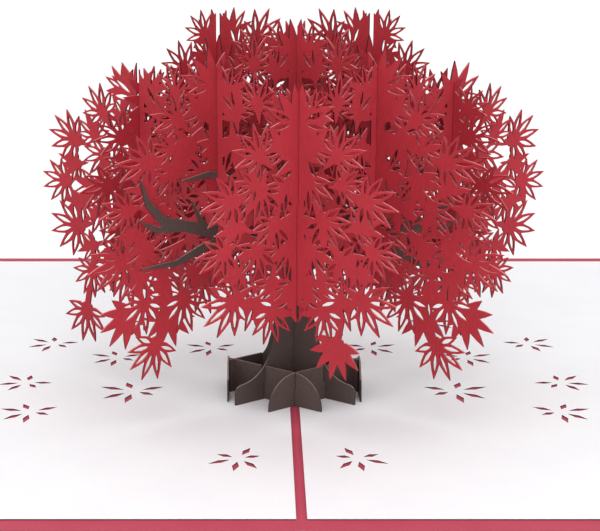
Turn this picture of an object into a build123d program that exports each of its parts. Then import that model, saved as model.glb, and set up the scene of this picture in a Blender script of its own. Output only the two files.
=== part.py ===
"""Pop-up card, open flat, with a maple tree of slotted paper panels standing on its fold.

A red cover folded once down the middle, two white linings with leaf cut-outs, a brown
trunk and root ring, and a crown of six leaf-cut panels. Two sets of parallel panels
cross each other with half-lap slots, so the tree folds flat when the card is closed.
+X runs across the fold, +Y along the fold to the back, +Z up, in millimetres.
The origin is the middle of the open cover's underside.
"""
import os
from math import atan2, cos, degrees, radians, sin

from build123d import *

os.makedirs("parts", exist_ok=True)

# Card
page_width = 150.0        # cover, fold to fore edge
page_length = 200.0       # cover, along the fold
cover_thickness = 0.4
lining_thickness = 0.25
border = 4.5              # cover left bare round the linings
fold_strip = 2.2          # cover left bare along the fold
crease_width = 1.2        # scored line: groove outside, bead inside
crease_depth = 0.15

# Leaf cut-outs in the linings: centre (from the fold, from the middle), turn and size
page_leaves = (
    ((12.8, -64.2), -45.0, 7.4),
    ((38.6, -22.0), 0.0, 8.9),
    ((61.6, -36.0), -5.0, 7.7),
    ((65.2, -16.0), 25.0, 7.3),
    ((62.1, 14.3), 12.0, 7.4),
    ((44.5, 3.0), 0.0, 7.4),
    ((20.6, 11.0), 0.0, 7.4),
    ((38.3, 32.1), 0.0, 7.4),
)
# The slits of such a leaf: angle, and length as a share of the leaf
page_slits = ((19.0, 0.99), (-37.0, 0.99), (-80.0, 0.95), (-150.0, 0.65), (158.0, 0.86), (70.0, 0.71))
page_slit = (0.28, 0.62, 1.0, 0.21)

# Paper of the tree and how its panels cross
sheet = 0.4
slot_clearance = 0.2
lattice_angle = 35.0      # panels to the X axis
tree_offset = -22.0       # tree axis from the middle of the card, along the fold

# Root ring and trunk
root_pitch = 8.8          # between crossings, along a panel
ring_height = 8.2
ring_split = 4.1          # height where the two half-lap slots meet
root_flare = 7.5          # curved root beyond the front and back crossings
root_bulge = 0.71         # middle of its curve, as shares of its reach and of the ring's height
root_stub = 1.2           # straight end beyond the side crossings
trunk_reach = 17.2        # axis to the end of a main root
root_end = 4.7            # height of a main root's end
root_round = 1.5          # its upper corner is cut off in two steps over this length and height
trunk_foot = (7.6, 10.5)  # half-width of the trunk and height where the roots begin
trunk_fork = (3.3, 36.0)  # the same where the limbs begin
trunk_tip = (0.7, 68.0)
root_hollow = 1.5         # how far the roots and the trunk's sides curve in
trunk_hollow = 0.9
stay_reach = 7.7          # half-length of a side stay on the page
stay_top = 2.2            # half-length of its upper edge
stay_shoulder = (6.2, 5.0)  # half-length and height where its ends bend in
stay_tab = 3.0            # half-length of the tab through the lining

# Limbs on one side of the axis: points (out, up) and the widths at both ends
limbs = (
    (((1.5, 31), (10, 38), (20, 42.2), (28, 44.6), (36, 47.2), (40, 51.6), (42, 57.5)), 4.6, 0.9),
    (((18.0, 41.2), (26.0, 39.7), (33.0, 37.2), (42.0, 37.3)), 2.4, 0.8),
    (((30.0, 45.0), (38.0, 45.6), (42.3, 48.2)), 1.8, 0.8),
    (((0.8, 43.0), (9.0, 51.0), (17.0, 55.0), (24.0, 56.4), (31.5, 55.8)), 3.2, 0.8),
    (((8.0, 50.0), (12.5, 57.5), (15.5, 63.5)), 2.2, 0.8),
)

# Crown
crown_pitch = 22.0        # between crossings, along a panel
axis_split = 58.0         # half-lap height at the tree's axis
middle_split = 37.0       # where a middle panel meets an outer one
outer_split = 52.0        # where two outer panels meet
leaf_size = 8.2           # middle of a leaf to its longest tip
leaf_spacing = 11.4       # between leaf middles along a panel's rim
leaf_sizes = (1.0, 0.86, 1.08, 0.92)           # shares of leaf_size, in turn round a rim
leaf_turns = (10.0, -16.0, 4.0, -8.0, 18.0)    # from straight outward, in turn round a rim
stalk_width = 1.6
rosette_rise = 14.0       # between the slit leaves inside a panel, one above the other
rosette_rows = 3
rosette_level = 54.0      # middle of their rows
rosette_size = 9.0
rosette_turn = 55.0       # from one to the next
rim_margin = 9.0          # slit leaves stay this far inside the rim
bays = 4                  # stretches of a panel beside and between its crossings
spine = 1.6               # plain strip left on each side of a slot
spine_rise = 6.5          # spine beyond the leaf middles
window_stem = (-26.0, 47.0)  # leaf-shaped opening in front of the branches
window_heading = 180.0
window_size = 13.0

# Rim of each kind of panel, through the middles of its leaves: points (along, up) from the
# top round the front end to the underside, and from there round the back end
crown_rims = {
    "front": (
        ((0, 73.5), (-20, 71), (-34, 62), (-41, 48), (-34, 29), (-20, 32), (0, 31.5)),
        ((0, 31.5), (20, 30.5), (36, 27), (42, 40), (45, 53), (38, 63), (24, 70.5), (0, 73.5)),
    ),
    "middle": (
        ((0, 81), (-22, 76), (-36, 65), (-46, 46), (-44, 33), (-37, 27), (-20, 37), (0, 40)),
        ((0, 40), (20, 37), (37, 27), (44, 33), (46, 46), (36, 65), (22, 76), (0, 81)),
    ),
    "back": (
        ((0, 83.5), (-5, 81), (-13, 73), (-24, 65), (-30, 54), (-24, 38), (0, 36)),
        ((0, 36), (16, 34), (30, 32), (38, 54), (28, 69), (17, 77), (9, 83), (0, 83.5)),
    ),
}
# Leaves that hang on a stalk below a rim: both ends of the stalk
droop = (((-39, 35), (-45, 27.5)), ((-37, 35), (-35, 26)), ((-35, 26), (-38.5, 19)))
hanging_leaves = {
    "leaves_a_middle": droop,
    "leaves_b_middle": droop,
    "leaves_b_front": (((-34, 30), (-32.5, 22)), ((37, 30), (39.5, 17.5))),
}

# A maple leaf's lobes: angle from the middle lobe, and length as a share of the leaf
lobes = ((-82.0, 0.76), (-40.0, 0.94), (0.0, 1.0), (40.0, 0.94), (82.0, 0.76))
sinus = 0.36              # depth of the notches between lobes, as a share of the leaf
rosette_lobes = lobes[1:-1]
# A pointed slit along a lobe: its start, waist and end as shares of the lobe, its width of the leaf
crown_slit = (0.30, 0.50, 0.86, 0.13)

page_level = cover_thickness + lining_thickness
run = radians(lattice_angle)
crossing = 2 * run
pair = 2 * sheet          # branch sheet and leaf sheet glued face to face


def slot_width(other):
    """Width of a slot that lets a sheet of the given thickness cross at the lattice's angle."""
    return (other + sheet * cos(crossing)) / sin(crossing) + slot_clearance


def panel_plane(side, row, pitch):
    """Upright plane of a panel: side +1 for set A, -1 for set B, row +1 front to -1 back."""
    shift = row * pitch
    origin = (side * shift * cos(run), tree_offset - shift * sin(run), page_level)
    along = Vector(side * cos(run), sin(run), 0)
    return Plane(origin=origin, x_dir=along, z_dir=along.cross(Vector(0, 0, 1)))


def polar(radius, angle):
    """Point at a radius and an angle in degrees from +X."""
    return (radius * cos(radians(angle)), radius * sin(radians(angle)))


def shape(points, at, heading):
    """Face from a closed outline, turned to a heading and moved to a place, not yet added."""
    return Location((*at, 0), heading) * Polygon(*points, mode=Mode.PRIVATE)


def leaf_outline(size):
    """Outline of a leaf about its middle, the longest lobe along +X."""
    points = [(-size * sinus, 0)]
    for (angle, length), (next_angle, _) in zip(lobes, lobes[1:]):
        points.append(polar(size * length, angle))
        points.append(polar(size * sinus, (angle + next_angle) / 2))
    last_angle, last_length = lobes[-1]
    points.append(polar(size * last_length, last_angle))
    return points


def leaf_slits(pattern, slit, size, at, heading, hand=1):
    """Pointed slits along the lobes of a leaf; hand -1 gives the mirrored leaf."""
    start, waist, end, width = slit
    half = size * width / 2
    slits = []
    for angle, length in pattern:
        reach = size * length
        outline = ((reach * start, 0), (reach * waist, -half), (reach * end, 0), (reach * waist, half))
        slits.append(shape(outline, at, heading + hand * angle))
    return slits


def limb_outline(points, start_width, end_width):
    """Tapered strip round a line of points."""
    left, right = [], []
    last = len(points) - 1
    for index, (x, y) in enumerate(points):
        before = points[max(index - 1, 0)]
        after = points[min(index + 1, last)]
        heading = atan2(after[1] - before[1], after[0] - before[0])
        half = (start_width + (end_width - start_width) * index / last) / 2
        left.append((x - half * sin(heading), y + half * cos(heading)))
        right.append((x + half * sin(heading), y - half * cos(heading)))
    return right + left[::-1]


def slot(at, bottom, top, other):
    """Upright slot for a crossing sheet, cut in the sketch that is open."""
    with Locations((at, (bottom + top) / 2)):
        Rectangle(slot_width(other), top - bottom, mode=Mode.SUBTRACT)


def leaf_slot(core, at, split, upward, other):
    """Slot from the split height out through a leaf panel's rim, with a plain spine on both sides."""
    box = core.bounding_box()
    upright = core.intersect(Edge.make_line((at, box.min.Y), (at, box.max.Y)))
    heights = [vertex.Y for vertex in upright.vertices()]
    outward = 1 if upward else -1
    spine_start = split - outward * spine
    spine_end = (max(heights) if upward else min(heights)) + outward * spine_rise
    with Locations((at, (spine_start + spine_end) / 2)):
        Rectangle(slot_width(other) + 2 * spine, abs(spine_end - spine_start))
    slot_end = spine_end + outward * leaf_size
    slot(at, min(split, slot_end), max(split, slot_end), other)


# Cover: one sheet, scored on the fold
with BuildPart() as cover:
    with BuildSketch(Plane.XZ.offset(-page_length / 2)):
        with BuildLine():
            right_foot = (crease_width / 2, 0)
            right_top = (crease_width / 2, cover_thickness)
            left_foot = (-crease_width / 2, 0)
            left_top = (-crease_width / 2, cover_thickness)
            ThreePointArc(left_foot, (0, crease_depth), right_foot)
            Polyline(right_foot, (page_width, 0), (page_width, cover_thickness), right_top)
            ThreePointArc(right_top, (0, cover_thickness + crease_depth), left_top)
            Polyline(left_top, (-page_width, cover_thickness), (-page_width, 0), left_foot)
        make_face()
    extrude(amount=page_length)
cover.part.label = "cover"
export_step(cover.part, "parts/cover.step")

# Side stays stand on the pages against the ends of the root ring's side corners
stay_face = (2 * root_pitch + root_stub) * cos(run) + sheet / 2 * sin(run)
stay_middle = stay_face + sheet / 2

# Linings: leaf cut-outs, and a slit for the stay's tab
lining_width = page_width - border - fold_strip / 2
for name, side in (("lining_left", -1), ("lining_right", 1)):
    cuts = []
    for (out, along), turn, size in page_leaves:
        heading = turn if side > 0 else 180.0 - turn
        cuts += leaf_slits(page_slits, page_slit, size, (side * out, along), heading, side)
    with BuildPart() as lining:
        with BuildSketch(Plane.XY.offset(cover_thickness)):
            with Locations((side * (fold_strip / 2 + lining_width / 2), 0)):
                Rectangle(lining_width, page_length - 2 * border)
            with Locations((side * stay_middle, tree_offset)):
                Rectangle(sheet + slot_clearance, 2 * stay_tab + slot_clearance, mode=Mode.SUBTRACT)
            add(cuts, mode=Mode.SUBTRACT)
        extrude(amount=lining_thickness)
    lining.part.label = name
    export_step(lining.part, f"parts/{name}.step")

for name, side in (("stay_left", -1), ("stay_right", 1)):
    stay_foot = (side * stay_middle, tree_offset, page_level)
    stay_plane = Plane(origin=stay_foot, x_dir=(0, 1, 0), z_dir=(1, 0, 0))
    with BuildPart() as stay:
        with BuildSketch(stay_plane):
            with BuildLine():
                tab_foot = (stay_tab, -lining_thickness)
                Polyline((0, -lining_thickness), tab_foot, (stay_tab, 0), (stay_reach, 0))
                Polyline((stay_reach, 0), stay_shoulder, (stay_top, ring_height), (0, ring_height))
                mirror(about=Plane.YZ)
            make_face()
        extrude(amount=sheet / 2, both=True)
    stay.part.label = name
    export_step(stay.part, f"parts/{name}.step")

# Root ring: four low panels; the front and back ends flare down to the page
for name, side, row in (
    ("root_a_front", 1, 1),
    ("root_a_back", 1, -1),
    ("root_b_front", -1, 1),
    ("root_b_back", -1, -1),
):
    flare_at = -row * root_pitch
    flare_end = -row * (root_pitch + root_flare)
    flare_middle = (-row * (root_pitch + root_flare * root_bulge), ring_height * root_bulge)
    stub_end = row * (root_pitch + root_stub)
    with BuildPart() as root:
        with BuildSketch(panel_plane(side, row, root_pitch)):
            with BuildLine():
                Polyline((flare_end, 0), (stub_end, 0), (stub_end, ring_height), (flare_at, ring_height))
                ThreePointArc((flare_at, ring_height), flare_middle, (flare_end, 0))
            make_face()
            slot(0, ring_split, ring_height, pair)
            for corner in (flare_at, -flare_at):
                if side > 0:
                    slot(corner, 0, ring_split, sheet)
                else:
                    slot(corner, ring_split, ring_height, sheet)
        extrude(amount=sheet / 2, both=True)
    root.part.label = name
    export_step(root.part, f"parts/{name}.step")

# Trunks: roots, trunk and limbs in one outline, on one face of the middle plane
for name, side in (("trunk_a", 1), ("trunk_b", -1)):
    with BuildPart() as trunk:
        with BuildSketch(panel_plane(side, 0, root_pitch)):
            with BuildLine():
                root_side = (trunk_reach, root_end - root_round)
                root_corner = (trunk_reach - root_round / 3, root_end - root_round / 3)
                root_top = (trunk_reach - root_round, root_end)
                Polyline((0, 0), (trunk_reach, 0), root_side, root_corner, root_top)
                SagittaArc(root_top, trunk_foot, root_hollow)
                SagittaArc(trunk_foot, trunk_fork, trunk_hollow)
                Polyline(trunk_fork, trunk_tip, (0, trunk_tip[1]))
                mirror(about=Plane.YZ)
            make_face()
            for points, start_width, end_width in limbs:
                outline = limb_outline(points, start_width, end_width)
                Polygon(*outline)
                Polygon(*[(-x, y) for x, y in outline])
            if side > 0:
                slot(0, 0, axis_split, pair)
            else:
                slot(0, axis_split, trunk_tip[1], pair)
            for corner in (-root_pitch, root_pitch):
                slot(corner, 0, ring_split, sheet)
        extrude(amount=sheet)
    trunk.part.label = name
    export_step(trunk.part, f"parts/{name}.step")


# Crown: six leaf-cut panels, the middle ones glued on the other face of the middle plane
for row_name, row in (("front", 1), ("middle", 0), ("back", -1)):
    front_end, back_end = crown_rims[row_name]
    with BuildLine(Plane.XY) as rim_line:
        Spline(*front_end, tangents=((-1, 0), (1, 0)))
        Spline(*back_end, tangents=((1, 0), (-1, 0)))
    rim = rim_line.wire()
    core = Face(rim)
    count = round(rim.length / leaf_spacing)
    middles, leaves, slits = [], [], []
    for index in range(count):
        place = rim.position_at(index / count)
        tangent = rim.tangent_at(index / count)
        outward = degrees(atan2(tangent.Y, tangent.X)) - 90.0
        size = leaf_size * leaf_sizes[index % len(leaf_sizes)]
        turn = leaf_turns[index % len(leaf_turns)]
        middles.append((place.X, place.Y))
        leaves.append(shape(leaf_outline(size), middles[-1], outward + turn))
    for index, place in enumerate(GridLocations(crown_pitch, rosette_rise, bays, rosette_rows)):
        at = (place.position.X, place.position.Y + rosette_level)
        if core.is_inside(Vector(*at)) and rim.distance_to(Vertex(*at, 0)) > rim_margin:
            slits += leaf_slits(rosette_lobes, crown_slit, rosette_size, at, rosette_turn * index)
    for set_name, side in (("a", 1), ("b", -1)):
        name = f"leaves_{set_name}_{row_name}"
        with BuildPart() as crown:
            with BuildSketch(panel_plane(side, row, crown_pitch)) as panel:
                Polygon(*middles)
                add(leaves)
                for stalk_top, stalk_end in hanging_leaves.get(name, ()):
                    heading = degrees(atan2(stalk_end[1] - stalk_top[1], stalk_end[0] - stalk_top[0]))
                    Polygon(*limb_outline((stalk_top, stalk_end), stalk_width, stalk_width))
                    add(shape(leaf_outline(leaf_size), stalk_end, heading))
                add(slits, mode=Mode.SUBTRACT)
                if row == 0:
                    leaf_slot(core, 0, axis_split, side < 0, pair)
                    for corner in (-crown_pitch, crown_pitch):
                        leaf_slot(core, corner, middle_split, False, sheet)
                else:
                    leaf_slot(core, 0, middle_split, True, pair)
                    for corner in (-crown_pitch, crown_pitch):
                        leaf_slot(core, corner, outer_split, side < 0, sheet)
                if row == 0 and side > 0:
                    add(shape(leaf_outline(window_size), window_stem, window_heading), mode=Mode.SUBTRACT)
            main_sheet = panel.sketch.faces().sort_by(SortBy.AREA)[-1]
            if row == 0:
                extrude(main_sheet, amount=-sheet)
            else:
                extrude(main_sheet, amount=sheet / 2, both=True)
        crown.part.label = name
        export_step(crown.part, f"parts/{name}.step")
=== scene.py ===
import math
import random

import bpy
import numpy as np
from mathutils import Matrix, Vector


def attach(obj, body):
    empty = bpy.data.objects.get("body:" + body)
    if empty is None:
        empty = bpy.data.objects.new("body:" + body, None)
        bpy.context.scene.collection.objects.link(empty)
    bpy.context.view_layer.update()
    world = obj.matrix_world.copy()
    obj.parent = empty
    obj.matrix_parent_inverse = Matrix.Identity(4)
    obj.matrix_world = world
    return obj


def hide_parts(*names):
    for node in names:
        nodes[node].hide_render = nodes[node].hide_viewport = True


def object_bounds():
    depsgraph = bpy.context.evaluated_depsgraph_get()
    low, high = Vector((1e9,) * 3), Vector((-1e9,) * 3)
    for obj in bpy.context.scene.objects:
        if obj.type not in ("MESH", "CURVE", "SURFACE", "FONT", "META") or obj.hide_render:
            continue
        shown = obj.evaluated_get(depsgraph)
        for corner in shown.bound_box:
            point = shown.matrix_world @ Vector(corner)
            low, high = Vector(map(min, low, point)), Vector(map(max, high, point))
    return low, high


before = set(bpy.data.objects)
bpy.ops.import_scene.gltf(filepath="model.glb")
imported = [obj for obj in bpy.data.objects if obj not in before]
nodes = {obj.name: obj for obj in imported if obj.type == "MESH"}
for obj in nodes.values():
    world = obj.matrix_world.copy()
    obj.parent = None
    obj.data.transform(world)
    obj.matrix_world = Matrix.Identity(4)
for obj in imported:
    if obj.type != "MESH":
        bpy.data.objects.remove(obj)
cad_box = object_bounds()

# Cover
# One sheet of dyed red card, cut square and scored down the middle so that it folds
# shut. Its bare margin shows round the linings, and a narrow strip of it along the fold.
upward = (0.0, 0.0, 1.0)


def from_srgb(red, green, blue):
    """Linear colour of a paper from its shade in 0 to 255."""
    shades = [value / 255 for value in (red, green, blue)]
    return [s / 12.92 if s <= 0.04045 else ((s + 0.055) / 1.055) ** 2.4 for s in shades] + [1.0]


def fibre_group():
    """Mottling and fibres of pressed paper, as a tone and a height."""
    group = bpy.data.node_groups.new("paper_fibre", "ShaderNodeTree")
    group.interface.new_socket("Grain", in_out="INPUT", socket_type="NodeSocketFloat")
    group.interface.new_socket("Tone", in_out="OUTPUT", socket_type="NodeSocketFloat")
    group.interface.new_socket("Height", in_out="OUTPUT", socket_type="NodeSocketFloat")
    made, link = group.nodes, group.links
    given = made.new("NodeGroupInput")
    result = made.new("NodeGroupOutput")
    place = made.new("ShaderNodeTexCoord")
    cloud = made.new("ShaderNodeTexNoise")
    cloud.inputs["Scale"].default_value = 70.0
    cloud.inputs["Detail"].default_value = 4.0
    stretch = made.new("ShaderNodeMapping")
    stretch.inputs["Scale"].default_value = (1.0, 1.6, 0.45)
    stretch.inputs["Rotation"].default_value = (0.3, 0.2, 0.5)
    fibre = made.new("ShaderNodeTexNoise")
    fibre.inputs["Detail"].default_value = 5.0
    fibre.inputs["Roughness"].default_value = 0.65
    blend = made.new("ShaderNodeMix")
    blend.inputs["Factor"].default_value = 0.55
    link.new(place.outputs["Object"], cloud.inputs["Vector"])
    link.new(place.outputs["Object"], stretch.inputs["Vector"])
    link.new(stretch.outputs["Vector"], fibre.inputs["Vector"])
    link.new(given.outputs["Grain"], fibre.inputs["Scale"])
    link.new(cloud.outputs["Fac"], blend.inputs["A"])
    link.new(fibre.outputs["Fac"], blend.inputs["B"])
    link.new(blend.outputs["Result"], result.inputs["Tone"])
    link.new(fibre.outputs["Fac"], result.inputs["Height"])
    return group


def edge_group():
    """Mask of a sheet's cut edges, the faces that turn away from its facing, and how far they look up, which
    sets their painted light.
    """
    group = bpy.data.node_groups.new("cut_edge", "ShaderNodeTree")
    group.interface.new_socket("Facing", in_out="INPUT", socket_type="NodeSocketVector")
    group.interface.new_socket("Edge", in_out="OUTPUT", socket_type="NodeSocketFloat")
    group.interface.new_socket("Painted Light Rise", in_out="OUTPUT", socket_type="NodeSocketFloat")
    made, link = group.nodes, group.links
    given = made.new("NodeGroupInput")
    result = made.new("NodeGroupOutput")
    place = made.new("ShaderNodeTexCoord")
    along = made.new("ShaderNodeVectorMath")
    along.operation = "DOT_PRODUCT"
    size = made.new("ShaderNodeMath")
    size.operation = "ABSOLUTE"
    turned = made.new("ShaderNodeMath")
    turned.operation = "LESS_THAN"
    turned.inputs[1].default_value = 0.6
    link.new(place.outputs["Normal"], along.inputs[0])
    link.new(given.outputs["Facing"], along.inputs[1])
    link.new(along.outputs["Value"], size.inputs[0])
    link.new(size.outputs["Value"], turned.inputs[0])
    link.new(turned.outputs["Value"], result.inputs["Edge"])
    # How far a cut edge faces up: it blends from painted shade on edges that face sideways or down to a
    # painted highlight on edges that face up.
    axes = made.new("ShaderNodeSeparateXYZ")
    rise = made.new("ShaderNodeMapRange")
    rise.inputs["From Min"].default_value = 0.3
    rise.inputs["From Max"].default_value = 0.95
    link.new(place.outputs["Normal"], axes.inputs["Vector"])
    link.new(axes.outputs["Z"], rise.inputs["Value"])
    link.new(rise.outputs["Result"], result.inputs["Painted Light Rise"])
    return group


paper_fibre = fibre_group()
cut_edge = edge_group()


def paper(name, light, dark, painted_highlight_edge, scorch_and_painted_shade, facing, grain=1600.0, roughness=(0.55, 0.75), relief=0.25):
    """A paper's material: two shades mottled by its fibres, and cut edges with a painted highlight where they
    face up and scorch with painted shade where they face sideways or down.
    """
    material = bpy.data.materials.new(name)
    material.use_nodes = True
    made, link = material.node_tree.nodes, material.node_tree.links
    shader = made["Principled BSDF"]
    shader.inputs["Specular IOR Level"].default_value = 0.25
    fibre = made.new("ShaderNodeGroup")
    fibre.node_tree = paper_fibre
    fibre.inputs["Grain"].default_value = grain
    rim = made.new("ShaderNodeGroup")
    rim.node_tree = cut_edge
    rim.inputs["Facing"].default_value = facing
    tone = made.new("ShaderNodeValToRGB")
    tone.color_ramp.elements[0].position = 0.35
    tone.color_ramp.elements[0].color = dark
    tone.color_ramp.elements[1].position = 0.65
    tone.color_ramp.elements[1].color = light
    shade = made.new("ShaderNodeMix")
    shade.data_type = "RGBA"
    # Cut-edge colour: a pale painted highlight where the edge faces up, laser scorch with painted shade where
    # it faces sideways or down.
    cut = made.new("ShaderNodeMix")
    cut.data_type = "RGBA"
    cut.inputs["A"].default_value = scorch_and_painted_shade
    cut.inputs["B"].default_value = painted_highlight_edge
    gloss = made.new("ShaderNodeMapRange")
    gloss.inputs["To Min"].default_value = roughness[0]
    gloss.inputs["To Max"].default_value = roughness[1]
    bump = made.new("ShaderNodeBump")
    bump.inputs["Strength"].default_value = relief
    bump.inputs["Distance"].default_value = 0.00008
    link.new(fibre.outputs["Tone"], tone.inputs["Fac"])
    link.new(tone.outputs["Color"], shade.inputs["A"])
    link.new(rim.outputs["Painted Light Rise"], cut.inputs["Factor"])
    link.new(cut.outputs["Result"], shade.inputs["B"])
    link.new(rim.outputs["Edge"], shade.inputs["Factor"])
    link.new(shade.outputs["Result"], shader.inputs["Base Color"])
    link.new(fibre.outputs["Tone"], gloss.inputs["Value"])
    link.new(gloss.outputs["Result"], shader.inputs["Roughness"])
    link.new(fibre.outputs["Height"], bump.inputs["Height"])
    link.new(bump.outputs["Normal"], shader.inputs["Normal"])
    return material


def dress(node, material):
    """Gives a carried-over sheet its paper."""
    node.data.materials.clear()
    node.data.materials.append(material)


dress(nodes["cover"], paper(
    "cover_card",
    light=from_srgb(194, 78, 98),
    dark=from_srgb(182, 66, 86),
    # Pale painted highlight for cut edges that face up, and scorch with painted shade for the others.
    painted_highlight_edge=from_srgb(206, 120, 134),
    scorch_and_painted_shade=from_srgb(160, 70, 86),
    facing=upward,
))

# Linings
# Two sheets of smooth white paper glued on the cover, one on each side of the fold,
# with maple leaves cut through them so that the red card shows.
lining_paper = paper(
    "lining_paper",
    light=from_srgb(250, 250, 252),
    dark=from_srgb(245, 245, 248),
    # Pale painted highlight for cut edges that face up. The upright walls of the leaf cut-outs take the dark
    # colour, partly laser scorch and partly painted shade.
    painted_highlight_edge=from_srgb(150, 110, 112),
    scorch_and_painted_shade=from_srgb(74, 26, 34),
    facing=upward,
    grain=1200.0,
    relief=0.12,
)
for name in ("lining_left", "lining_right"):
    dress(nodes[name], lining_paper)

# Side stays
# Two low tabs of brown paper that stand on the pages at the sides of the root ring
# and pull it open with the card. A tab of each goes down through the lining.
bark_light = from_srgb(86, 71, 67)
bark_dark = from_srgb(71, 58, 55)
# Pale painted highlight for bark cut edges that face up, and scorch with painted shade for those that face
# sideways or down.
bark_painted_highlight_edge = from_srgb(150, 128, 122)
bark_scorch_and_painted_shade = from_srgb(52, 40, 38)
stay_paper = paper("stay_paper", bark_light, bark_dark, bark_painted_highlight_edge, bark_scorch_and_painted_shade, facing=(1.0, 0.0, 0.0))
for name in ("stay_left", "stay_right"):
    dress(nodes[name], stay_paper)

# Root ring
# Four low panels of brown paper that cross each other and the trunk with half-lap slots.
# Their front and back ends are curved like roots.
lattice_angle = math.radians(35.0)
facings = {
    "a": (math.sin(lattice_angle), -math.cos(lattice_angle), 0.0),
    "b": (math.sin(lattice_angle), math.cos(lattice_angle), 0.0),
}
bark_papers = {
    side: paper(f"bark_paper_{side}", bark_light, bark_dark, bark_painted_highlight_edge, bark_scorch_and_painted_shade, facing=facings[side])
    for side in facings
}
for side, material in bark_papers.items():
    for row in ("front", "back"):
        dress(nodes[f"root_{side}_{row}"], material)

# Trunk
# Two sheets of the same brown paper, each with roots, trunk and limbs in one outline,
# slotted into each other at the tree's axis. The limbs and a short twig end in fine points.
millimetre = 0.001
tree_offset = -22.0
page_level = 0.65
sides = {"a": 1, "b": -1}
limb_ends = (
    ((40.0, 51.6), (42.0, 57.5)),
    ((33.0, 37.2), (42.0, 37.3)),
    ((38.0, 45.6), (42.3, 48.2)),
    ((24.0, 56.4), (31.5, 55.8)),
    ((12.5, 57.5), (15.5, 63.5)),
)
limb_half_width = 0.72
point_half_width = 0.1
point_overshoot = 0.5
wedge_reach = 1.5
twig = (((23.8, 42.8), 0.9), ((26.6, 46.6), 0.55), ((28.8, 51.0), point_half_width))
cutter_depth = 4.0
weld_distance = 0.000001


def select_only(piece):
    """Makes a piece the only selected one, and the active one."""
    bpy.ops.object.select_all(action="DESELECT")
    piece.select_set(True)
    bpy.context.view_layer.objects.active = piece


def drawn_prism(corners, name):
    """A prism one unit thick over an outline drawn out of a circle."""
    bpy.ops.object.select_all(action="DESELECT")
    bpy.ops.mesh.primitive_circle_add(vertices=len(corners), radius=1.0, fill_type="NGON")
    piece = bpy.context.object
    piece.name = name
    for vertex, corner in zip(piece.data.vertices, corners):
        vertex.co = (*corner, -0.5)
    bpy.ops.object.mode_set(mode="EDIT")
    bpy.ops.mesh.select_all(action="SELECT")
    bpy.ops.mesh.extrude_region_move(TRANSFORM_OT_translate={"value": (0.0, 0.0, 1.0)})
    bpy.ops.mesh.select_all(action="SELECT")
    bpy.ops.mesh.normals_make_consistent(inside=False)
    bpy.ops.object.mode_set(mode="OBJECT")
    return piece


def placed(source, matrix):
    """A copy of a piece with its own mesh, put in its place."""
    piece = bpy.data.objects.new(source.name, source.data.copy())
    piece.data.transform(matrix)
    return piece


def combine(piece, others, operation):
    """Adds other pieces to a piece, or cuts them from it, and clears them away."""
    group = bpy.data.collections.new("operands")
    bpy.context.scene.collection.children.link(group)
    for other in others:
        group.objects.link(other)
    modifier = piece.modifiers.new("combine", "BOOLEAN")
    modifier.operation = operation
    modifier.solver = "MANIFOLD"
    modifier.operand_type = "COLLECTION"
    modifier.collection = group
    select_only(piece)
    bpy.ops.object.modifier_apply(modifier=modifier.name)
    for other in others:
        bpy.data.objects.remove(other)
    bpy.data.collections.remove(group)


def without_scraps(piece):
    """The largest part of a piece, with the loose ones cleared away."""
    select_only(piece)
    bpy.ops.mesh.separate(type="LOOSE")
    parts = sorted(bpy.context.selected_objects, key=lambda part: len(part.data.polygons))
    for scrap in parts[:-1]:
        bpy.data.objects.remove(scrap)
    return parts[-1]


def sheet_frame(node, side, shift=0.0):
    """Place of an upright sheet, in millimetres along it, up and across it, and its thickness."""
    hand = sides[side]
    along = Vector((hand * math.cos(lattice_angle), math.sin(lattice_angle), 0.0))
    facing = Vector(facings[side])
    depths = [vertex.co.dot(facing) for vertex in node.data.vertices]
    near, far = min(depths), max(depths)
    middle = Vector((0.0, tree_offset, page_level)) + shift * Vector((along.x, -along.y, 0.0))
    origin = middle * millimetre
    origin += facing * ((near + far) / 2 - origin.dot(facing))
    sheet = Matrix((along, (0.0, 0.0, 1.0), facing)).transposed().to_4x4()
    return Matrix.Translation(origin) @ sheet @ Matrix.Scale(millimetre, 4), (far - near) / millimetre


def point_wedges(bend, tip):
    """Outlines of the two wedges whose removal draws a limb's end out to a point."""
    bend, tip = Vector(bend), Vector(tip)
    way = (tip - bend).normalized()
    for across in (way.orthogonal(), -way.orthogonal()):
        beyond = tip + point_overshoot * way
        yield (
            bend + limb_half_width * across,
            tip + point_half_width * across,
            beyond + point_half_width * across,
            beyond + wedge_reach * across,
            bend + wedge_reach * across,
        )


def twig_outline():
    """Outline of the twig, a strip that narrows to its point."""
    points = [Vector(point) for point, _ in twig]
    outward = [(end - start).normalized().orthogonal() for start, end in zip(points, points[1:])]
    outward.append(outward[-1])
    left = [point + half * way for point, (_, half), way in zip(points, twig, outward)]
    right = [point - half * way for point, (_, half), way in zip(points, twig, outward)]
    return left + right[::-1]


def sheet_shapes(outlines, on_sheet, thickness):
    """Prisms over some outlines, at both ends of a sheet."""
    shapes = []
    for end in (1.0, -1.0):
        for outline in outlines:
            drawn = drawn_prism([(end * x, y) for x, y in outline], "sheet_shape")
            shapes.append(placed(drawn, on_sheet @ Matrix.Diagonal((1.0, 1.0, thickness, 1.0))))
            bpy.data.objects.remove(drawn)
    return shapes


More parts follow.
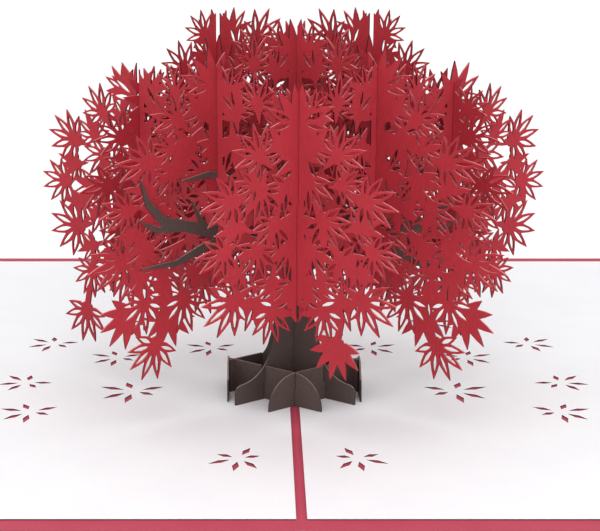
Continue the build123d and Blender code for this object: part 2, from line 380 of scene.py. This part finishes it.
wedges = [wedge for bend, tip in limb_ends for wedge in point_wedges(bend, tip)]
for side, material in bark_papers.items():
    node = nodes[f"trunk_{side}"]
    on_sheet, thickness = sheet_frame(node, side)
    trunk = bpy.data.objects.new("trunk", node.data.copy())
    bpy.context.scene.collection.objects.link(trunk)
    select_only(trunk)
    bpy.ops.object.mode_set(mode="EDIT")
    bpy.ops.mesh.select_all(action="SELECT")
    bpy.ops.mesh.remove_doubles(threshold=weld_distance)
    bpy.ops.mesh.customdata_custom_splitnormals_clear()
    bpy.ops.object.mode_set(mode="OBJECT")
    bpy.ops.object.shade_flat()
    combine(trunk, sheet_shapes([twig_outline()], on_sheet, thickness), "UNION")
    combine(trunk, sheet_shapes(wedges, on_sheet, cutter_depth * thickness), "DIFFERENCE")
    trunk = without_scraps(trunk)
    trunk.name = f"trunk_{side}_cut"
    dress(trunk, material)
    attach(trunk, "root")
    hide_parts(f"trunk_{side}")

# Crown
# Six panels of red paper, cut into a lattice of maple leaves by a laser, that cross with
# half-lap slots. Pointed slits run along the lobes, and the cut leaves scorched edges, with a
# painted highlight where they face up and painted shade where they face sideways or down.
crown_pitch = 22.0
axis_split = 58.0
middle_split = 37.0
outer_split = 52.0
sheet_slot = 0.77
pair_slot = 1.2
slot_reach = 60.0
crossing_reach = 0.5
spine_width = 2.8
spine_rise = 6.5
spine_clearance = 0.6
spine_leaves = ((-3.6, 2.0, 130.0, 6.0), (3.9, 1.4, 55.0, 6.4))
lobes = ((-92.0, 0.72), (-60.0, 0.9), (-29.0, 1.0), (0.0, 1.04), (29.0, 1.0), (60.0, 0.9), (92.0, 0.72))
leaf_size = 8.2
leaf_spacing = 11.4
leaf_sizes = (1.0, 0.86, 1.08, 0.92)
leaf_turns = (10.0, -16.0, 4.0, -8.0, 18.0)
weep = 18.0
heart = 0.25
lobe_width = 0.30
leaf_base = (0.62, 0.2)
between_sink = 3.4
between_turn = 1.5
between_size = 0.8
inner_pitch = 8.2
inner_levels = 16
inner_columns = 9
inner_shift = 1.2
inner_margin = 4.6
inner_turn = 25.0
inner_sizes = (0.85, 1.05)
slit_start = 0.25
slit_ends = (0.80, 0.86)
slit_widths = (0.10, 0.13)
slit_clearance = 0.7
slit_samples = 6
stalk_width = 1.6
window_place = (-26.0, 47.0)
window_heading = 180.0
window_size = 13.0
droop = (((-39, 35), (-45, 27.5), False), ((-37, 35), (-35, 26), False), ((-35, 26), (-38.5, 19), True))
hanging = {
    "leaves_a_middle": droop,
    "leaves_b_middle": droop,
    "leaves_b_front": (((-34, 30), (-32.5, 22), False), ((37, 30), (39.5, 17.5), True)),
}
rims = {
    "front": (
        ((0, 73.5), (-20, 71), (-34, 62), (-41, 48), (-34, 29), (-20, 32), (0, 31.5)),
        ((0, 31.5), (20, 30.5), (36, 27), (42, 40), (45, 53), (38, 63), (24, 70.5), (0, 73.5)),
    ),
    "middle": (
        ((0, 81), (-22, 76), (-36, 65), (-46, 46), (-44, 33), (-37, 27), (-20, 37), (0, 40)),
        ((0, 40), (20, 37), (37, 27), (44, 33), (46, 46), (36, 65), (22, 76), (0, 81)),
    ),
    "back": (
        ((0, 83.5), (-5, 81), (-13, 73), (-24, 65), (-30, 54), (-24, 38), (0, 36)),
        ((0, 36), (16, 34), (30, 32), (38, 54), (28, 69), (17, 77), (9, 83), (0, 83.5)),
    ),
}
rows = {"front": 1, "middle": 0, "back": -1}


def turned(angle, length, width, thickness=1.0):
    """Turn and stretch of a unit shape in its own sheet."""
    return Matrix.Rotation(math.radians(angle), 4, "Z") @ Matrix.Diagonal((length, width, thickness, 1.0))


lobe_outline = ((0.1, -0.32), (0.42, -0.5), (0.75, -0.27), (1, 0), (0.75, 0.27), (0.42, 0.5), (0.1, 0.32))
lobe = drawn_prism(lobe_outline, "lobe")
slit_edge = ((0.22, 0.36), (0.5, 0.5), (0.82, 0.26))
slit = drawn_prism(((0, 0), *((x, -y) for x, y in slit_edge), (1, 0), *slit_edge[::-1]), "slit")
strip = drawn_prism(((-0.5, 0), (0.5, 0), (0.5, 0.95), (0, 1), (-0.5, 0.95)), "strip")
heart_turns = np.arange(10) * math.pi / 5
leaf = drawn_prism([(heart * math.cos(turn), heart * math.sin(turn)) for turn in heart_turns], "leaf")
combine(leaf, [placed(lobe, turned(angle, length, lobe_width)) for angle, length in lobes], "UNION")
combine(leaf, [placed(lobe, turned(180.0, *leaf_base))], "UNION")


def smooth_line(points, start, end, step=0.25):
    """Points along a smooth line through the given ones, with its directions at both ends."""
    points = np.array(points, float)
    gaps = np.linalg.norm(np.diff(points, axis=0), axis=1)
    last = len(points) - 1
    weights = np.eye(last + 1)
    slopes = np.zeros_like(points)
    slopes[0], slopes[last] = start, end
    for i in range(1, last):
        weights[i, i - 1:i + 2] = gaps[i], 2 * (gaps[i - 1] + gaps[i]), gaps[i - 1]
        slopes[i] = 3 * gaps[i] / gaps[i - 1] * (points[i] - points[i - 1])
        slopes[i] += 3 * gaps[i - 1] / gaps[i] * (points[i + 1] - points[i])
    slopes = np.linalg.solve(weights, slopes)
    line = []
    for i, gap in enumerate(gaps):
        for t in np.arange(0.0, 1.0, step / gap):
            ahead = (1 + 2 * t) * (1 - t) ** 2 * points[i] + t * (1 - t) ** 2 * gap * slopes[i]
            line.append(ahead + t * t * (3 - 2 * t) * points[i + 1] - t * t * (1 - t) * gap * slopes[i + 1])
    return line


def clear_of(points, segments):
    """Smallest distance from some points to some segments."""
    if not segments:
        return math.inf
    ends = np.array(segments, float)
    start, way = ends[:, 0], ends[:, 1] - ends[:, 0]
    across = np.asarray(points, float)[:, None] - start
    share = np.clip((across * way).sum(2) / (way * way).sum(1), 0.0, 1.0)
    return np.linalg.norm(across - share[..., None] * way, axis=2).min()


def inside(point, outline):
    """Whether a point lies in a closed outline."""
    x, y = point
    first, second = outline, np.roll(outline, -1, axis=0)
    spans = (first[:, 1] > y) != (second[:, 1] > y)
    rise = np.where(spans, second[:, 1] - first[:, 1], 1.0)
    meets = first[:, 0] + (y - first[:, 1]) / rise * (second[:, 0] - first[:, 0])
    return bool((spans & (x < meets)).sum() % 2)


def leaf_places(rim, name, chance):
    """Middle, heading and size of each leaf of a panel, and whether it has slits."""
    walked = np.concatenate([[0.0], np.cumsum(np.linalg.norm(np.roll(rim, -1, axis=0) - rim, axis=1))])
    count = round(walked[-1] / leaf_spacing)
    outer, between = [], []
    for step in range(2 * count):
        at = np.searchsorted(walked, walked[-1] * step / (2 * count)) % len(rim)
        way = rim[(at + 1) % len(rim)] - rim[at - 1]
        outward = math.atan2(way[1], way[0]) - math.pi / 2
        heading = math.degrees(outward) - weep * math.cos(outward)
        turn = leaf_turns[step // 2 % len(leaf_turns)]
        size = leaf_size * leaf_sizes[step // 2 % len(leaf_sizes)]
        if step % 2 == 0:
            outer.append((rim[at], heading + turn, size, True))
        else:
            sunk = rim[at] - between_sink * np.array((math.cos(outward), math.sin(outward)))
            between.append((sunk, heading - between_turn * turn, between_size * size, True))
    for top, end, slitted in hanging.get(name, ()):
        heading = math.degrees(math.atan2(end[1] - top[1], end[0] - top[0]))
        outer.append((np.array(end, float), heading, leaf_size, slitted))
    edges = list(zip(rim, np.roll(rim, -1, axis=0)))
    inner = []
    for level in range(inner_levels):
        for column in range(-inner_columns, inner_columns + 1):
            at = np.array(((column + level % 2 / 2) * inner_pitch, level * inner_pitch * math.sqrt(0.75)))
            at += (chance.uniform(-inner_shift, inner_shift), chance.uniform(-inner_shift, inner_shift))
            if inside(at, rim) and clear_of([at], edges) > inner_margin:
                heading = at[0] - 90.0 + chance.uniform(-inner_turn, inner_turn)
                inner.append((at, heading, leaf_size * chance.uniform(*inner_sizes), True))
    return outer + between + inner


def leaf_slits(places, chance):
    """Both ends and the width of each slit that keeps clear of the others and of the spines."""
    found = []
    for at, heading, size, slitted in places:
        for angle, length in lobes if slitted else ():
            turn = math.radians(heading + angle)
            way = np.array((math.cos(turn), math.sin(turn))) * size * length
            slit_end = at + chance.uniform(*slit_ends) * way
            samples = np.linspace(at + slit_start * way, slit_end, slit_samples)
            spine_gap = min(abs(samples[:, 0] - k * crown_pitch).min() for k in (-1, 0, 1))
            slit_gap = clear_of(samples, [line for line, _ in found])
            if spine_gap > spine_width / 2 + spine_clearance and slit_gap > slit_clearance:
                found.append(((samples[0], samples[-1]), size * chance.uniform(*slit_widths)))
    return found


def crown_panel(side, row):
    """One leaf-cut panel in the place of its plain sheet."""
    name = f"leaves_{side}_{row}"
    chance = random.Random(name)
    on_sheet, thickness = sheet_frame(nodes[name], side, rows[row] * crown_pitch)

    def put(source, at, angle, length, width, thick=thickness):
        return placed(source, on_sheet @ Matrix.Translation((*at, 0.0)) @ turned(angle, length, width, thick))

    front_end, back_end = rims[row]
    rim = np.array(smooth_line(front_end, (-1, 0), (1, 0)) + smooth_line(back_end, (1, 0), (-1, 0)))
    crossings = []
    for crossing in (-1, 0, 1):
        heights = rim[abs(rim[:, 0] - crossing * crown_pitch) < crossing_reach][:, 1]
        if row == "middle":
            rising = crossing == 0 and side == "b"
            split = axis_split if crossing == 0 else middle_split
        else:
            rising = crossing == 0 or side == "b"
            split = middle_split if crossing == 0 else outer_split
        slot_width = pair_slot if crossing == 0 else sheet_slot
        crossings.append((crossing * crown_pitch, heights.min(), heights.max(), rising, split, slot_width))
    found = leaf_places(rim, name, chance)
    for at, low, high, rising, split, slot_width in crossings:
        for across, above, heading, size in spine_leaves if rising else ():
            found.append((np.array((at + across, high + above)), heading, size, True))
    crest = cad_box[1][2] / millimetre - page_level
    places = []
    for at, heading, size, slitted in found:
        tip = max(at[1] + size * length * math.sin(math.radians(heading + angle)) for angle, length in lobes)
        places.append((at - (0.0, max(tip - crest, 0.0)), heading, size, slitted))
    grown = [put(leaf, at, heading, size, size) for at, heading, size, slitted in places]
    for top, end, slitted in hanging.get(name, ()):
        way = Vector(end) - Vector(top)
        grown.append(put(strip, top, math.degrees(math.atan2(way.y, way.x)) - 90.0, stalk_width, way.length))
    cuts = []
    for at, low, high, rising, split, slot_width in crossings:
        foot, angle = (low, 0.0) if rising else (high, 180.0)
        grown.append(put(strip, (at, foot), angle, spine_width + slot_width, high - low + spine_rise))
        cuts.append(put(strip, (at, split), angle, slot_width, slot_reach, cutter_depth * thickness))
    panel = grown.pop()
    bpy.context.scene.collection.objects.link(panel)
    combine(panel, grown, "UNION")
    for (start, end), width in leaf_slits(places, chance):
        way = end - start
        angle = math.degrees(math.atan2(way[1], way[0]))
        cuts.append(put(slit, start, angle, np.linalg.norm(way), width, cutter_depth * thickness))
    if name == "leaves_a_middle":
        cuts.append(put(
            leaf, window_place, window_heading, window_size, window_size, cutter_depth * thickness
        ))
    combine(panel, cuts, "DIFFERENCE")
    panel = without_scraps(panel)
    panel.name = f"{name}_cut"
    return panel


for side in sides:
    leaf_paper = paper(
        f"leaf_paper_{side}",
        light=from_srgb(172, 43, 54),
        dark=from_srgb(154, 33, 44),
        # Pale painted highlight for leaf edges that face up, and laser scorch with painted shade for those
        # that face sideways or down.
        painted_highlight_edge=from_srgb(226, 138, 138),
        scorch_and_painted_shade=from_srgb(76, 22, 30),
        facing=facings[side],
    )
    for row in rows:
        panel = crown_panel(side, row)
        dress(panel, leaf_paper)
        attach(panel, "root")
        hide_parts(f"leaves_{side}_{row}")
for shape in (lobe, slit, strip, leaf):
    bpy.data.objects.remove(shape)

# Floor
# A plain white table top that the card lies on. To the camera it glows, so that it fades
# into the white background.
bpy.ops.object.select_all(action="DESELECT")
bpy.ops.mesh.primitive_plane_add(size=8.0, location=(0.0, 2.0, -0.0001))
floor = bpy.context.object
floor.name = "floor"
floor_paint = bpy.data.materials.new("floor_paint")
floor_paint.use_nodes = True
made, link = floor_paint.node_tree.nodes, floor_paint.node_tree.links
made["Principled BSDF"].inputs["Base Color"].default_value = from_srgb(248, 248, 250)
made["Principled BSDF"].inputs["Roughness"].default_value = 0.9
glow = made.new("ShaderNodeEmission")
glow.inputs["Strength"].default_value = 1.1
seen = made.new("ShaderNodeLightPath")
share = made.new("ShaderNodeMath")
share.operation = "MULTIPLY"
share.inputs[1].default_value = 0.85
mix = made.new("ShaderNodeMixShader")
link.new(seen.outputs["Is Camera Ray"], share.inputs[0])
link.new(share.outputs["Value"], mix.inputs["Fac"])
link.new(made["Principled BSDF"].outputs["BSDF"], mix.inputs[1])
link.new(glow.outputs["Emission"], mix.inputs[2])
link.new(mix.outputs["Shader"], made["Material Output"].inputs["Surface"])
floor.data.materials.append(floor_paint)

# Studio light
# A white room with a large soft lamp above, one in front, and one on each side that fills
# the shadows.
world = bpy.data.worlds.new("white_room")
bpy.context.scene.world = world
world.use_nodes = True
made, link = world.node_tree.nodes, world.node_tree.links
room = made["Background"]
room.inputs["Strength"].default_value = 0.80
backdrop = made.new("ShaderNodeBackground")
seen = made.new("ShaderNodeLightPath")
mix = made.new("ShaderNodeMixShader")
link.new(seen.outputs["Is Camera Ray"], mix.inputs["Fac"])
link.new(room.outputs["Background"], mix.inputs[1])
link.new(backdrop.outputs["Background"], mix.inputs[2])
link.new(mix.outputs["Shader"], made["World Output"].inputs["Surface"])
room.inputs["Color"].default_value = (1.0, 1.0, 1.0, 1.0)
backdrop.inputs["Color"].default_value = (1.0, 1.0, 1.0, 1.0)

tree_middle = Vector((0.0, -0.022, 0.045))
for name, place, size, power in (
    ("top_lamp", (0.02, -0.15, 1.05), 1.0, 1.6),
    ("left_lamp", (-0.70, -0.50, 0.42), 0.6, 0.8),
    ("right_lamp", (0.70, -0.50, 0.42), 0.6, 0.8),
    ("front_lamp", (0.0, -0.62, 0.30), 0.5, 1.5),
):
    lamp_data = bpy.data.lights.new(name, "AREA")
    lamp_data.shape = "DISK"
    lamp_data.size = size
    lamp_data.energy = power
    lamp = bpy.data.objects.new(name, lamp_data)
    bpy.context.scene.collection.objects.link(lamp)
    lamp.location = place
    lamp.rotation_euler = (tree_middle - lamp.location).to_track_quat("-Z", "Y").to_euler()

# Camera
# A long lens that looks down on the card from the front, a little left of the fold, as in
# the photo.
downward_tilt = 15.56
camera_data = bpy.data.cameras.new("camera")
camera_data.sensor_width = 36.0
camera_data.lens = 96.0
camera_data.shift_x = 0.0703
camera_data.clip_start = 0.01
camera = bpy.data.objects.new("camera", camera_data)
bpy.context.scene.collection.objects.link(camera)
camera.location = (-0.00866, -0.3858, 0.13335)
camera.rotation_euler = (math.radians(90.0 - downward_tilt), 0.0, 0.0)
bpy.context.scene.camera = camera
bpy.context.scene.view_settings.view_transform = "Standard"
